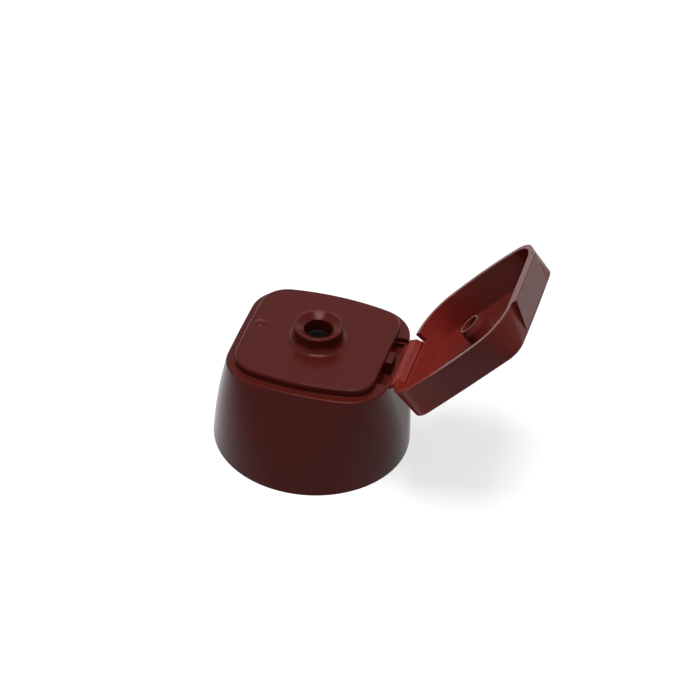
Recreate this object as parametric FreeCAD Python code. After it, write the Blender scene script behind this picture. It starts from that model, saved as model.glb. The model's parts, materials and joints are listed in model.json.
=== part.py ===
"""Flip top dispensing cap: one polypropylene moulding whose lid hangs on a film hinge.

Frame: origin at the centre of the bottom rim, on the axis of the neck bore.
+Z is up, -Y is the front where a finger lifts the lid, +Y is the hinge side, X is the width.
Lengths are millimetres and angles are degrees. Each piece is built with the cap closed and
is then swung to the open position in which the cap is delivered.
"""
import FreeCAD
import Part
import math
import os

from FreeCAD import Vector

# ---- driving dimensions -------------------------------------------------------------------
# outer shell: round at the bottom, a rounded square with bulged sides at the top
bottom_radius = 19.0
ledge_height = 21.2
top_half_width = 15.5
top_front = 15.0
top_rear = 16.3
side_bulge = 1.95
end_bulge = 0.25
front_corner = 7.4
rear_corner = 7.8
taper_power = 1.45
shell_wall = 1.3
rim_bore_depth = 2.5
ledge_thickness = 1.2
ledge_edge_round = 0.35

# deck, raised above the ledge
deck_rise = 1.6
deck_inset = 1.6
deck_rear = 14.0
deck_front_corner = 5.6
deck_rear_corner = 4.4
deck_thickness = 1.2
deck_edge_round = 0.35

# nozzle with a funnel mouth and a flared foot
nozzle_y = 0.35
nozzle_radius = 4.7
nozzle_height = 3.25
nozzle_foot_round = 1.35
nozzle_rim_round = 0.3
funnel_radius = 4.2
funnel_depth = 0.9
orifice_radius = 2.75
inlet_radius = 3.6
inlet_depth = 0.9

# gate mark left by the moulding
gate_x = -0.9
gate_y = -11.4
gate_radius = 1.15
gate_height = 0.3

# collar that takes the bottle neck, with its seal ring and its ribs to the shell
neck_bore_radius = 12.15
collar_wall = 1.2
collar_bottom = 4.0
neck_land_radius = 11.5
neck_land_depth = 2.6
seal_ring_radius = 8.4
seal_ring_wall = 0.9
seal_ring_depth = 2.3
seal_ring_chamfer = 0.4
rib_count = 8
rib_thickness = 0.8
rib_bottom = 8.0

# film hinge: a panel between two film lines, one on the base and one on the lid
hinge_width = 14.0
film_drop = 0.8
film_thickness = 0.3
film_gap = 0.1
film_web = 0.15
panel_length = 3.0
panel_thickness = 0.9
panel_bevel = 0.7
panel_side_gap = 0.3
lip_thickness = 0.8
trough_depth = 1.0
trough_wall = 1.2
bridge_width = 3.3
bridge_rise = 0.8
bridge_end_gap = 0.3
open_angle = 130.5

# lid
lid_gap = 0.45
lid_height = 6.6
lid_wall = 1.0
lid_top_wall = 1.0
lid_top_half_width = 13.8
lid_top_front = 13.0
lid_top_rear = 16.1
lid_top_bulge = 0.3
lid_top_front_corner = 3.2
lid_top_rear_corner = 4.6
lid_top_round = 0.6
finger_lift_width = 15.0
finger_lift_reach = 1.1
plug_radius = 2.5
plug_wall = 0.7
plug_tip_height = 1.5
plug_tip_taper = 0.4
plug_tip_length = 1.2

# ---- sizes that follow from them -----------------------------------------------------------
rim_bore_radius = bottom_radius - shell_wall
deck_height = ledge_height + deck_rise
deck_underside = deck_height - deck_thickness
ledge_underside = ledge_height - ledge_thickness
nozzle_top = deck_height + nozzle_height
film_y = top_rear - film_thickness / 2
film_height = ledge_height - film_drop
lid_film_height = film_height + panel_length
film_clear = film_thickness / 2 + film_gap
lip_height = film_height - film_clear
lid_rim = ledge_height + lid_gap
lid_top = lid_rim + lid_height
film_turn = open_angle / 2
slot_half_width = hinge_width / 2 + panel_side_gap
overlap = 0.3
AXIS = Vector(1, 0, 0)


# ---- outlines made of eight tangent arcs ---------------------------------------------------
def bulge_radius(half_chord, bulge):
    """Radius of an arc that rises by bulge over its half chord."""
    return (half_chord ** 2 + bulge ** 2) / (2 * bulge)


def corner_centre(side_x, side_reach, end_y, end_reach):
    """Outer point at side_reach from (side_x, 0) and at end_reach from (0, end_y)."""
    run = Vector(-side_x, end_y, 0)
    span = run.Length
    along = (side_reach ** 2 - end_reach ** 2 + span ** 2) / (2 * span)
    across = math.sqrt(side_reach ** 2 - along ** 2)
    run.normalize()
    outward = Vector(-run.y, run.x, 0)
    return Vector(side_x, 0, 0) + run * along + outward * across


def rounded_square(half_width, front, rear, side_rise, end_rise, front_radius, rear_radius):
    """Arcs (centre, radius, start, end) of a square whose sides bulge and corners are round."""
    side_radius = bulge_radius((front + rear) / 2, side_rise)
    end_radius = bulge_radius(half_width, end_rise)
    side_x = half_width - side_radius
    rear_y = rear - end_radius
    front_y = front - end_radius
    rear_mid = corner_centre(side_x, side_radius - rear_radius, rear_y, end_radius - rear_radius)
    front_mid = corner_centre(side_x, side_radius - front_radius, front_y, end_radius - front_radius)
    side_up = math.atan2(rear_mid.y, rear_mid.x - side_x)
    rear_in = math.atan2(rear_mid.y - rear_y, rear_mid.x)
    side_down = math.atan2(front_mid.y, front_mid.x - side_x)
    front_in = math.atan2(front_mid.y - front_y, front_mid.x)
    half = math.pi
    full = 2 * math.pi
    return [
        (Vector(side_x, 0, 0), side_radius, -side_down, side_up),
        (rear_mid, rear_radius, side_up, rear_in),
        (Vector(0, rear_y, 0), end_radius, rear_in, half - rear_in),
        (Vector(-rear_mid.x, rear_mid.y, 0), rear_radius, half - rear_in, half - side_up),
        (Vector(-side_x, 0, 0), side_radius, half - side_up, half + side_down),
        (Vector(-front_mid.x, -front_mid.y, 0), front_radius, half + side_down, half + front_in),
        (Vector(0, -front_y, 0), end_radius, half + front_in, full - front_in),
        (Vector(front_mid.x, -front_mid.y, 0), front_radius, full - front_in, full - side_down),
    ]


def section(arcs, height, inset=0.0, share=1.0):
    """Wire of an outline at a height, share of the way from the bottom circle to the outline."""
    edges = []
    for centre, radius, start, end in arcs:
        mid = Vector(centre.x * share, centre.y * share, height)
        reach = (1 - share) * bottom_radius + share * radius - inset
        angles = (start, (start + end) / 2, end)
        points = [mid + Vector(math.cos(a), math.sin(a), 0) * reach for a in angles]
        edges.append(Part.Arc(*points).toShape())
    return Part.Wire(edges)


def prism(arcs, low, high, inset=0.0):
    """Straight solid of an outline between two heights."""
    face = Part.Face(section(arcs, low, inset))
    return face.extrude(Vector(0, 0, high - low))


def top_outline():
    return rounded_square(top_half_width, top_front, top_rear, side_bulge, end_bulge,
                          front_corner, rear_corner)


def deck_outline():
    return rounded_square(top_half_width - deck_inset, top_front - deck_inset, deck_rear,
                          side_bulge, end_bulge, deck_front_corner, deck_rear_corner)


def lid_top_outline():
    return rounded_square(lid_top_half_width, lid_top_front, lid_top_rear, lid_top_bulge,
                          lid_top_bulge, lid_top_front_corner, lid_top_rear_corner)


# ---- small helpers ---------------------------------------------------------------------------
def box(x, y, z):
    """Box between the lower and upper value of each axis."""
    size = (x[1] - x[0], y[1] - y[0], z[1] - z[0])
    return Part.makeBox(*size, Vector(x[0], y[0], z[0]))


def cylinder(radius, low, high, y=0.0):
    return Part.makeCylinder(radius, high - low, Vector(0, y, low))


def tube(outer, inner, low, high, y=0.0):
    return cylinder(outer, low, high, y).cut(cylinder(inner, low, high, y))


def cone(low_radius, high_radius, low, high, y=0.0):
    return Part.makeCone(low_radius, high_radius, high - low, Vector(0, y, low))


def edges_at(shape, height):
    """Edges that lie wholly at one height."""
    tiny = 1e-4
    flat = []
    for edge in shape.Edges:
        reach = edge.BoundBox
        if abs(reach.ZMin - height) < tiny and abs(reach.ZMax - height) < tiny:
            flat.append(edge)
    return flat


def round_edge(shape, radius, size, height):
    """Fillet the circles of one radius at one height."""
    rings = [e for e in edges_at(shape, height)
             if hasattr(e.Curve, "Radius") and abs(e.Curve.Radius - radius) < 1e-4]
    return shape.makeFillet(size, rings)


# ---- base -------------------------------------------------------------------------------------
def shell_loft(inset, high):
    """Solid from the bottom rim to a height, inset from the outer face."""
    arcs = top_outline()
    wires = []
    for level in (0, 1 / 3, 2 / 3, 1):
        height = high * level
        share = (height / ledge_height) ** taper_power
        wires.append(section(arcs, height, inset, share))
    return Part.makeLoft(wires, True, False)


def outer_shell():
    """Outside of the base up to its ledge, with the ledge's edge rounded."""
    solid = shell_loft(0.0, ledge_height)
    return solid.makeFillet(ledge_edge_round, edges_at(solid, ledge_height))


def deck_block():
    """Raised deck with a rounded edge."""
    solid = prism(deck_outline(), ledge_underside, deck_height)
    return solid.makeFillet(deck_edge_round, edges_at(solid, deck_height))


def inside_space():
    """Space under the ledge and the deck."""
    under_ledge = shell_loft(shell_wall, ledge_underside)
    under_deck = prism(deck_outline(), collar_bottom, deck_underside, deck_thickness)
    rim_bore = cylinder(rim_bore_radius, 0, rim_bore_depth)
    return under_ledge.fuse([under_deck, rim_bore])


def ribs():
    """Radial ribs between the collar and the shell."""
    start = neck_bore_radius + collar_wall / 2
    blade = box((start, bottom_radius), (-rib_thickness / 2, rib_thickness / 2),
                (rib_bottom, ledge_underside + overlap))
    turn = 360.0 / rib_count
    blades = []
    for index in range(rib_count):
        copy = blade.copy()
        copy.rotate(Vector(0, 0, 0), Vector(0, 0, 1), (index + 0.5) * turn)
        blades.append(copy)
    return blades


def collar():
    """Solid post up to the underside of the deck, hollowed later for the bottle neck."""
    return cylinder(neck_bore_radius + collar_wall, collar_bottom, deck_underside + overlap)


def neck_space():
    """Bore for the neck's thread, with a narrower land that centres the neck's mouth."""
    land_start = deck_underside - neck_land_depth
    thread_bore = cylinder(neck_bore_radius, collar_bottom, land_start)
    return thread_bore.fuse(cylinder(neck_land_radius, land_start, deck_underside))


def seal_ring():
    """Ring under the deck that plugs the bottle's mouth, with a chamfered tip."""
    low = deck_underside - seal_ring_depth
    ring = tube(seal_ring_radius, seal_ring_radius - seal_ring_wall, low, deck_underside + overlap)
    tip = [e for e in edges_at(ring, low) if abs(e.Curve.Radius - seal_ring_radius) < 1e-4]
    return ring.makeChamfer(seal_ring_chamfer, tip)


def trough_tray():
    """Walls and floor that close the hinge trough from below."""
    half = slot_half_width + trough_wall
    low = lip_height - trough_depth - trough_wall
    return box((-half, half), (deck_rear - trough_wall, top_rear + shell_wall),
               (low, ledge_underside + overlap))


def hinge_slot():
    """Gap in the ledge where the hinge panel stands, and the trough in front of it."""
    slot = box((-slot_half_width, slot_half_width), (deck_rear, bottom_radius),
               (lip_height, ledge_height + overlap))
    trough = box((-hinge_width / 2, hinge_width / 2), (deck_rear, top_rear - lip_thickness),
                 (lip_height - trough_depth, ledge_height))
    return slot.fuse(trough)


def bridge():
    """Land across the trough that stiffens the deck's rear wall."""
    return box((-bridge_width / 2, bridge_width / 2),
               (deck_rear - overlap, top_rear - lip_thickness - bridge_end_gap),
               (lip_height - trough_depth - overlap, ledge_height + bridge_rise))


def gate_mark():
    """Low dome on the deck."""
    ball = bulge_radius(gate_radius, gate_height)
    sphere = Part.makeSphere(ball, Vector(gate_x, gate_y, deck_height + gate_height - ball))
    keep = Part.makeCylinder(gate_radius, gate_height + overlap,
                             Vector(gate_x, gate_y, deck_height - overlap / 2))
    return sphere.common(keep)


def add_nozzle(body):
    """Nozzle on the deck with a flared foot, a rounded rim and its passage."""
    body = body.fuse(cylinder(nozzle_radius, deck_underside, nozzle_top, nozzle_y)).removeSplitter()
    body = round_edge(body, nozzle_radius, nozzle_foot_round, deck_height)
    body = round_edge(body, nozzle_radius, nozzle_rim_round, nozzle_top)
    passage = cylinder(orifice_radius, deck_underside, nozzle_top, nozzle_y)
    funnel = cone(orifice_radius, funnel_radius, nozzle_top - funnel_depth, nozzle_top, nozzle_y)
    inlet = cone(inlet_radius, orifice_radius, deck_underside, deck_underside + inlet_depth, nozzle_y)
    return body.cut(passage.fuse([funnel, inlet]))


def make_base():
    outside = outer_shell()
    body = outside.fuse(deck_block()).cut(inside_space())
    inner = collar().fuse(ribs()).fuse(trough_tray())
    body = body.fuse(inner.common(outside.fuse(deck_block())))
    body = body.cut(neck_space())
    body = body.fuse(seal_ring())
    body = body.cut(hinge_slot()).fuse(bridge())
    body = add_nozzle(body.removeSplitter())
    return body.fuse(gate_mark()).removeSplitter()


# ---- hinge panel ----------------------------------------------------------------------------
def make_panel():
    """Stiff panel, thinned to a film at both ends, each film ending on its turning axis."""
    outer = film_y + film_thickness / 2
    inner_film = outer - film_thickness
    inner_panel = outer - panel_thickness
    low, high = film_height, lid_film_height
    step = film_web + panel_bevel
    outline = [
        (outer, low), (outer, high), (inner_film, high), (inner_film, high - film_web),
        (inner_panel, high - step), (inner_panel, low + step), (inner_film, low + film_web),
        (inner_film, low), (outer, low),
    ]
    start = -hinge_width / 2
    wire = Part.makePolygon([Vector(start, y, z) for y, z in outline])
    panel = Part.Face(wire).extrude(AXIS * hinge_width)
    beads = [Part.makeCylinder(film_thickness / 2, hinge_width, Vector(start, film_y, z), AXIS)
             for z in (low, high)]
    return panel.fuse(beads).removeSplitter()


# ---- lid ------------------------------------------------------------------------------------
def round_over(arcs, high, radius):
    """Block whose upper edge rolls over in a quarter round."""
    wires = []
    for turn in (0, 30, 60, 90):
        angle = math.radians(turn)
        level = high - radius + radius * math.sin(angle)
        wires.append(section(arcs, level, radius * (1 - math.cos(angle))))
    return Part.makeLoft(wires, True, False)


def lid_shell():
    """Shallow cup whose front and sides lean in towards its top."""
    rim, top = top_outline(), lid_top_outline()
    wall = [section(rim, lid_rim), section(top, lid_top - lid_top_round)]
    outer = Part.makeLoft(wall, True, True).fuse(round_over(top, lid_top, lid_top_round))
    floor = lid_top - lid_top_wall
    hollow = [section(rim, lid_rim, lid_wall), section(top, floor, lid_wall)]
    return outer.cut(Part.makeLoft(hollow, True, True))


def finger_lift():
    """Flat wedge on the front wall that stands out at the rim."""
    wall = top_front - lid_wall / 2
    wall_top = lid_top_front - lid_wall / 2
    outline = [
        (-wall, lid_rim), (-top_front - finger_lift_reach, lid_rim),
        (-lid_top_front, lid_top - lid_top_round), (-wall_top, lid_top - lid_top_round),
        (-wall, lid_rim),
    ]
    start = -finger_lift_width / 2
    wire = Part.makePolygon([Vector(start, y, z) for y, z in outline])
    return Part.Face(wire).extrude(AXIS * finger_lift_width)


def hinge_cutout():
    """Window in the lid's rear wall for the hinge panel."""
    return box((-slot_half_width, slot_half_width), (top_rear - lid_wall - overlap, bottom_radius),
               (lid_rim - overlap, lid_film_height + film_clear))


def plug():
    """Hollow pin, tapered at its tip, that closes the orifice when the lid is shut."""
    low = lid_rim + plug_tip_height
    taper_end = low + plug_tip_length
    pin = cylinder(plug_radius, taper_end, lid_top - lid_top_wall / 2, nozzle_y)
    tip = cone(plug_radius - plug_tip_taper, plug_radius, low, taper_end, nozzle_y)
    bore = cylinder(plug_radius - plug_wall, low, lid_top - lid_top_wall, nozzle_y)
    return pin.fuse(tip).cut(bore)


def make_lid():
    lid = lid_shell().fuse(finger_lift()).cut(hinge_cutout())
    return lid.fuse(plug()).removeSplitter()


# ---- open position and export ---------------------------------------------------------------
def swing(shape, film):
    """Turn a piece outwards about the film line at the given height of the closed cap."""
    shape.rotate(Vector(0, film_y, film), AXIS, -film_turn)


def main():
    base = make_base()
    panel = make_panel()
    lid = make_lid()
    swing(lid, lid_film_height)
    for piece in (panel, lid):
        swing(piece, film_height)
    os.makedirs("parts", exist_ok=True)
    pieces = {"cap_base": base, "hinge_panel": panel, "flip_lid": lid}
    for name, shape in pieces.items():
        solid = shape.Solids[0]
        print(name, "valid", shape.isValid(), "solids", len(shape.Solids), "volume", round(shape.Volume, 1))
        solid.exportStep("parts/" + name + ".step")


main()
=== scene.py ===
"""Looks of the open flip top cap: glossy maroon polypropylene, moulded in one piece.

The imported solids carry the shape. This script gives them their material and adds the neck thread,
the two films that bend at the hinge, a pale floor, two soft lamps and the camera.
"""
import bpy
import json
import math
from mathutils import Matrix, Vector


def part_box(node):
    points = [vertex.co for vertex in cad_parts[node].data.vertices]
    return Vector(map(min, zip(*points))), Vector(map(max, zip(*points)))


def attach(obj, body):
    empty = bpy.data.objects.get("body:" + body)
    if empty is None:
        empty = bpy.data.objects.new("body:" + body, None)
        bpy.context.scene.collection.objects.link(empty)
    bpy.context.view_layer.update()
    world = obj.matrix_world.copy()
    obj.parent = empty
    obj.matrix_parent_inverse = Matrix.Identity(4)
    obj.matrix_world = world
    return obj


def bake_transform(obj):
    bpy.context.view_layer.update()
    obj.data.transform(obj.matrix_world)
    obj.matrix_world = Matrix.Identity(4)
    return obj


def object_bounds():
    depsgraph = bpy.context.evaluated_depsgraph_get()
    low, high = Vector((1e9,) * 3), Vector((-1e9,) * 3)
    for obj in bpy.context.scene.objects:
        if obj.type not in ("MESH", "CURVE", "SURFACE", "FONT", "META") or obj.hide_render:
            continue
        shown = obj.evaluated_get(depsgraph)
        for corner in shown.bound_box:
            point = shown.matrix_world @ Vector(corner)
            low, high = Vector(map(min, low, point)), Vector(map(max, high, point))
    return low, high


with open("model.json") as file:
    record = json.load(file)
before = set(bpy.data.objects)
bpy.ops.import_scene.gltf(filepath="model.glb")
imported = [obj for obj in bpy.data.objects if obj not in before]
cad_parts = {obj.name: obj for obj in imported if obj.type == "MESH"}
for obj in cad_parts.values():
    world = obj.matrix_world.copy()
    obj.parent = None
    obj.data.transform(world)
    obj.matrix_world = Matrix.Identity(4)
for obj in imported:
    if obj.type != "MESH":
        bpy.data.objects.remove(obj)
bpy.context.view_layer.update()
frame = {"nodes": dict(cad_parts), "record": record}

MM = 0.001
JOINTS = {joint["name"]: joint for joint in frame["record"]["behaviour"]["joints"]}
MOUNTS = {mount["name"]: mount for mount in frame["record"]["mounts"]}

# ---- sizes ---------------------------------------------------------------------------------
# neck thread, in metres
THREAD_PITCH = 3.175 * MM
THREAD_TURNS = 1.6
THREAD_DEPTH = 0.85 * MM
THREAD_ROOT = 1.9 * MM
THREAD_CREST = 0.7 * MM
THREAD_START = 1.6 * MM
THREAD_STEPS = 72
THREAD_FADE = 0.12
THREAD_SUNK = 0.2 * MM

# bending films
FILM_THICKNESS = 0.28 * MM
FILM_HALF_REACH = 0.32 * MM
FILM_SIDE_GAP = 0.05 * MM
FILM_STEPS = 16

# plastic: linear colours of the base, of the lid (painted lighter for light shining through its
# walls) and of the painted glow at the lid's hinge end
BASE_TONE = (0.076, 0.0090, 0.0064, 1)
LID_PAINTED_LIGHT_TONE = (0.112, 0.0150, 0.0115, 1)
PAINTED_GLOW_TONE = (0.195, 0.0200, 0.0150, 1)
TONE_SPREAD = 0.05
# the painted glow fades between two places along the open lid, from its hinge to its front
PAINTED_GLOW_AXIS = (0.0, 0.649, 0.760)
PAINTED_GLOW_START = 31.0 * MM
PAINTED_GLOW_END = 42.0 * MM
PLASTIC_IOR = 1.22
PLASTIC_SPECULAR = 0.45
PLASTIC_SPECULAR_TINT = (1.0, 0.6, 0.62, 1)
SCATTER_WEIGHT = 0.5
SCATTER_RADIUS = (1.0, 0.12, 0.08)
SCATTER_SCALE = 1.2 * MM
FLOW_MARK_SCALE = 90.0
GLOSS_MARK_SCALE = 260.0
ROUGHNESS_RANGE = (0.20, 0.24)
EDGE_SOFTNESS = 0.25 * MM
SKIN_STRENGTH = 0.03
SKIN_DEPTH = 0.02 * MM

# camera
CAMERA_TARGET = Vector((0, 0, 10 * MM))
CAMERA_AZIMUTH = 105.05
CAMERA_ELEVATION = 39.64
CAMERA_ROLL = 2.70
CAMERA_DISTANCE = 0.526
CAMERA_LENS = 141.4
CAMERA_SHIFT = (0.0518, 0.0576)

# room, floor and lamps
FILL_LIGHT = 0.24
WHITE_LIGHT = 1.0
FLOOR_SIZE = 3.0
FLOOR_TONE = 0.45
FLOOR_GLOW = 0.7
FLOOR_ROUGHNESS = 0.9
# azimuth from the camera, elevation, distance, edge length and power of each lamp
SOFTBOX = (0.0, 86.0, 0.75, 0.3, 4.9)
SIDE_FILL = (-75.0, 40.0, 1.1, 0.5, 0.6)


# ---- material ------------------------------------------------------------------------------
def add(tree, kind, **values):
    """New shader node with its named inputs and properties set."""
    node = tree.nodes.new(kind)
    for name, value in values.items():
        if name in node.inputs:
            node.inputs[name].default_value = value
        else:
            setattr(node, name, value)
    return node


def maroon_plastic(name, tone, painted_glow_tone):
    """Glossy polypropylene: faint flow marks, a barely uneven gloss and softly rounded edges.

    Near the lid's hinge end the colour is painted lighter: a painted glow standing in for light
    shining through the walls there.
    """
    material = bpy.data.materials.new(name)
    material.use_nodes = True
    tree = material.node_tree
    shader = tree.nodes["Principled BSDF"]
    shader.inputs["IOR"].default_value = PLASTIC_IOR
    shader.inputs["Specular IOR Level"].default_value = PLASTIC_SPECULAR
    shader.inputs["Specular Tint"].default_value = PLASTIC_SPECULAR_TINT
    shader.inputs["Subsurface Weight"].default_value = SCATTER_WEIGHT
    shader.inputs["Subsurface Radius"].default_value = SCATTER_RADIUS
    shader.inputs["Subsurface Scale"].default_value = SCATTER_SCALE

    place = add(tree, "ShaderNodeTexCoord")
    flow = add(tree, "ShaderNodeTexNoise", Scale=FLOW_MARK_SCALE, Detail=3.0, Distortion=1.2)
    tint = add(tree, "ShaderNodeValToRGB")
    for element, share in zip(tint.color_ramp.elements, (1 - TONE_SPREAD, 1 + TONE_SPREAD)):
        element.color = (tone[0] * share, tone[1] * share, tone[2] * share, 1)
    tree.links.new(place.outputs["Object"], flow.inputs["Vector"])
    tree.links.new(flow.outputs["Fac"], tint.inputs["Fac"])

    # painted glow: the colour turns lighter towards the lid's hinge end, standing in for light
    # shining through the walls there
    along = add(tree, "ShaderNodeVectorMath", operation="DOT_PRODUCT")
    along.inputs[1].default_value = PAINTED_GLOW_AXIS
    painted_light = add(tree, "ShaderNodeMapRange")
    painted_light.inputs["From Min"].default_value = PAINTED_GLOW_START
    painted_light.inputs["From Max"].default_value = PAINTED_GLOW_END
    painted_light.inputs["To Min"].default_value = 1.0
    painted_light.inputs["To Max"].default_value = 0.0
    blend = add(tree, "ShaderNodeMix", data_type="RGBA")
    blend.inputs[7].default_value = painted_glow_tone
    tree.links.new(place.outputs["Object"], along.inputs[0])
    tree.links.new(along.outputs["Value"], painted_light.inputs["Value"])
    tree.links.new(painted_light.outputs["Result"], blend.inputs[0])
    tree.links.new(tint.outputs["Color"], blend.inputs[6])
    tree.links.new(blend.outputs[2], shader.inputs["Base Color"])

    cloud = add(tree, "ShaderNodeTexNoise", Scale=GLOSS_MARK_SCALE, Detail=4.0)
    gloss = add(tree, "ShaderNodeMapRange")
    gloss.inputs["To Min"].default_value = ROUGHNESS_RANGE[0]
    gloss.inputs["To Max"].default_value = ROUGHNESS_RANGE[1]
    tree.links.new(place.outputs["Object"], cloud.inputs["Vector"])
    tree.links.new(cloud.outputs["Fac"], gloss.inputs["Value"])
    tree.links.new(gloss.outputs["Result"], shader.inputs["Roughness"])

    edge = add(tree, "ShaderNodeBevel", Radius=EDGE_SOFTNESS, samples=4)
    skin = add(tree, "ShaderNodeBump", Strength=SKIN_STRENGTH, Distance=SKIN_DEPTH)
    tree.links.new(cloud.outputs["Fac"], skin.inputs["Height"])
    tree.links.new(edge.outputs["Normal"], skin.inputs["Normal"])
    tree.links.new(skin.outputs["Normal"], shader.inputs["Normal"])
    return material


def pale_floor():
    """Pale matt floor that shows white to the eye and keeps the cap's shadow."""
    material = bpy.data.materials.new("pale_floor")
    material.use_nodes = True
    tree = material.node_tree
    shader = tree.nodes["Principled BSDF"]
    shader.inputs["Base Color"].default_value = (FLOOR_TONE,) * 3 + (1,)
    shader.inputs["Roughness"].default_value = FLOOR_ROUGHNESS
    shader.inputs["Specular IOR Level"].default_value = 0.0
    glow = add(tree, "ShaderNodeEmission", Strength=FLOOR_GLOW)
    seen = seen_rays(tree)
    dark = add(tree, "ShaderNodeEmission", Strength=0.0)
    pick = tree.nodes.new("ShaderNodeMixShader")
    both = tree.nodes.new("ShaderNodeAddShader")
    tree.links.new(seen, pick.inputs[0])
    tree.links.new(dark.outputs[0], pick.inputs[1])
    tree.links.new(glow.outputs[0], pick.inputs[2])
    tree.links.new(shader.outputs[0], both.inputs[0])
    tree.links.new(pick.outputs[0], both.inputs[1])
    tree.links.new(both.outputs[0], tree.nodes["Material Output"].inputs["Surface"])
    return material


def seen_rays(tree):
    """1 for camera, glossy and transmission rays, otherwise 0."""
    path = tree.nodes.new("ShaderNodeLightPath")
    first = add(tree, "ShaderNodeMath", operation="MAXIMUM")
    second = add(tree, "ShaderNodeMath", operation="MAXIMUM")
    tree.links.new(path.outputs["Is Camera Ray"], first.inputs[0])
    tree.links.new(path.outputs["Is Glossy Ray"], first.inputs[1])
    tree.links.new(first.outputs[0], second.inputs[0])
    tree.links.new(path.outputs["Is Transmission Ray"], second.inputs[1])
    return second.outputs[0]


# ---- pieces --------------------------------------------------------------------------------
def new_piece(name, points, faces, material):
    """Smooth mesh object made of points and faces."""
    mesh = bpy.data.meshes.new(name)
    mesh.from_pydata([tuple(p) for p in points], [], faces)
    mesh.update()
    mesh.polygons.foreach_set("use_smooth", [True] * len(mesh.polygons))
    piece = bpy.data.objects.new(name, mesh)
    bpy.context.scene.collection.objects.link(piece)
    mesh.materials.append(material)
    return piece


def strip_faces(rings, size):
    """Quads between rings of equal size, closed at both ends."""
    faces = []
    for ring in range(rings - 1):
        for k in range(size):
            low = ring * size
            follow = (k + 1) % size
            faces.append((low + k, low + follow, low + size + follow, low + size + k))
    faces.append(tuple(reversed(range(size))))
    faces.append(tuple(range((rings - 1) * size, rings * size)))
    return faces


def thread_ridge(material):
    """Right-handed thread inside the neck bore, fading out at both ends."""
    bore = MOUNTS["neck_bore"]
    wall = bore["dims"]["r_mm"] * MM
    foot = bore["pos_m"][2] + THREAD_START
    steps = round(THREAD_TURNS * THREAD_STEPS)
    points = []
    for step in range(steps + 1):
        share = step / steps
        angle = share * THREAD_TURNS * 2 * math.pi
        height = foot + share * THREAD_TURNS * THREAD_PITCH
        fade = min(1.0, share / THREAD_FADE, (1 - share) / THREAD_FADE)
        crest = wall - THREAD_DEPTH * math.sin(fade * math.pi / 2)
        upper = ((wall + THREAD_SUNK, THREAD_ROOT / 2), (wall, THREAD_ROOT / 2),
                 (crest, THREAD_CREST / 2))
        lower = tuple((radius, -half) for radius, half in reversed(upper))
        for radius, half in upper + lower:
            points.append((radius * math.cos(angle), radius * math.sin(angle), height + half))
    piece = new_piece("neck_thread", points, strip_faces(steps + 1, 6), material)
    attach(piece, "base")


def film_axes(angle):
    """Directions along and across a film that leans this many degrees from upright."""
    turn = math.radians(angle)
    return Vector((0, math.sin(turn), math.cos(turn))), Vector((0, math.cos(turn), -math.sin(turn)))


def film(name, joint, before, after, material):
    """Thin web bent about a film line, from direction before to direction after, in degrees."""
    centre = Vector(joint["pos_m"])
    low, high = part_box("hinge_panel")
    left, right = low[0] + FILM_SIDE_GAP, high[0] - FILM_SIDE_GAP
    half = FILM_THICKNESS / 2
    first_along, first_across = film_axes(before)
    last_along, last_across = film_axes(after)
    profile = []
    for side in (1, -1):
        line = [centre - first_along * FILM_HALF_REACH + first_across * half * side]
        for step in range(FILM_STEPS + 1):
            across = film_axes(before + (after - before) * step / FILM_STEPS)[1]
            line.append(centre + across * half * side)
        line.append(centre + last_along * FILM_HALF_REACH + last_across * half * side)
        profile.append(line)
    ring = profile[0] + profile[1][::-1]
    points = [Vector((x, p.y, p.z)) for x in (left, right) for p in ring]
    piece = new_piece(name, points, strip_faces(2, len(ring)), material)
    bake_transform(piece)


def dress_solids(thick, painted_light):
    """The base takes the plain plastic. The lid and its hinge panel take the copy painted lighter,
    with its painted glow at the hinge end.
    """
    for name, node in frame["nodes"].items():
        node.data.materials.clear()
        node.data.materials.append(thick if name == "cap_base" else painted_light)


# ---- room, lamps and camera -------------------------------------------------------------------
def make_floor():
    half = FLOOR_SIZE / 2
    corners = [(-half, -half, 0), (half, -half, 0), (half, half, 0), (-half, half, 0)]
    floor = new_piece("floor", corners, [(0, 1, 2, 3)], pale_floor())
    floor.location.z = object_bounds()[0].z


def make_world():
    """White to the eye and in reflections, and a dim grey fill on the object."""
    world = bpy.data.worlds.new("studio")
    bpy.context.scene.world = world
    world.use_nodes = True
    tree = world.node_tree
    tree.nodes.clear()
    fill = add(tree, "ShaderNodeBackground", Color=(1, 1, 1, 1), Strength=FILL_LIGHT)
    white = add(tree, "ShaderNodeBackground", Color=(1, 1, 1, 1), Strength=WHITE_LIGHT)
    pick = tree.nodes.new("ShaderNodeMixShader")
    out = tree.nodes.new("ShaderNodeOutputWorld")
    tree.links.new(seen_rays(tree), pick.inputs[0])
    tree.links.new(fill.outputs[0], pick.inputs[1])
    tree.links.new(white.outputs[0], pick.inputs[2])
    tree.links.new(pick.outputs[0], out.inputs["Surface"])


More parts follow.
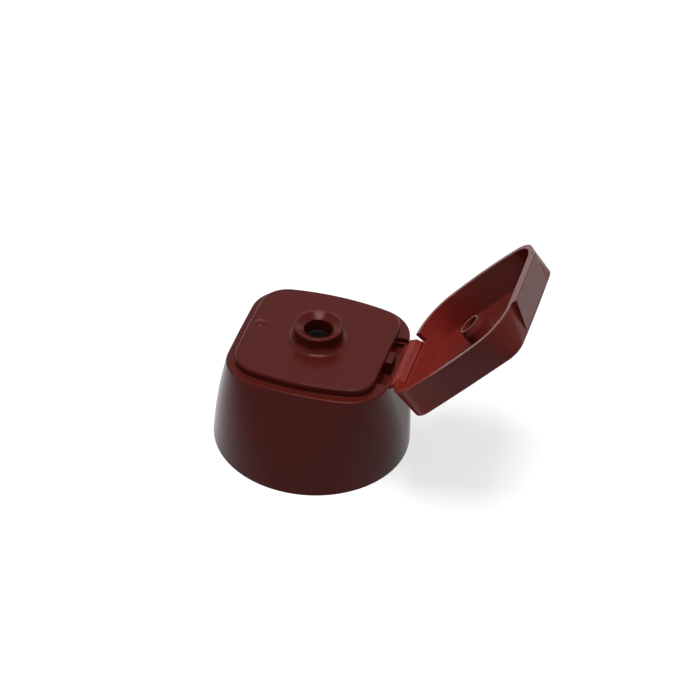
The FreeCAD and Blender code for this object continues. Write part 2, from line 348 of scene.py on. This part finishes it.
def soft_lamp(name, turn, elevation, distance, size, watts):
    """Square softbox aimed at the cap, turned in azimuth from the camera."""
    data = bpy.data.lights.new(name, "AREA")
    data.shape = "SQUARE"
    data.size = size
    data.energy = watts
    lamp = bpy.data.objects.new(name, data)
    back = direction(CAMERA_AZIMUTH + turn, elevation)
    lamp.location = CAMERA_TARGET + back * distance
    lamp.rotation_euler = (-back).to_track_quat("-Z", "Y").to_euler()
    bpy.context.scene.collection.objects.link(lamp)


def direction(azimuth, elevation):
    """Unit vector towards a viewer at this azimuth and elevation."""
    a, e = math.radians(azimuth), math.radians(elevation)
    return Vector((math.sin(a) * math.cos(e), -math.cos(a) * math.cos(e), math.sin(e)))


def make_camera():
    data = bpy.data.cameras.new("camera")
    data.sensor_width = 36
    data.lens = CAMERA_LENS
    data.shift_x, data.shift_y = CAMERA_SHIFT
    data.clip_start = 0.01
    camera = bpy.data.objects.new("camera", data)
    back = direction(CAMERA_AZIMUTH, CAMERA_ELEVATION)
    a = math.radians(CAMERA_AZIMUTH)
    right = Vector((math.cos(a), math.sin(a), 0))
    up = back.cross(right)
    turn = Matrix((right, up, back)).transposed().to_4x4()
    turn = turn @ Matrix.Rotation(math.radians(CAMERA_ROLL), 4, "Z")
    camera.matrix_world = Matrix.Translation(CAMERA_TARGET + back * CAMERA_DISTANCE) @ turn
    bpy.context.scene.collection.objects.link(camera)
    bpy.context.scene.camera = camera


def main():
    plastic = maroon_plastic("maroon_polypropylene", BASE_TONE, BASE_TONE)
    # the lid, its hinge panel and the films take a copy painted lighter than the base, standing in
    # for light shining through their walls
    painted_light_plastic = maroon_plastic("maroon_polypropylene_painted_light", LID_PAINTED_LIGHT_TONE, PAINTED_GLOW_TONE)
    dress_solids(plastic, painted_light_plastic)
    thread_ridge(plastic)
    rest_turn = -JOINTS["base_film"]["range_deg"][0]
    film("base_film_web", JOINTS["base_film"], 0.0, rest_turn, painted_light_plastic)
    film("lid_film_web", JOINTS["lid_film"], rest_turn, 2 * rest_turn, painted_light_plastic)
    make_floor()
    make_world()
    soft_lamp("softbox", *SOFTBOX)
    soft_lamp("side_fill", *SIDE_FILL)
    make_camera()
    bpy.context.scene.view_settings.view_transform = "Standard"


main()
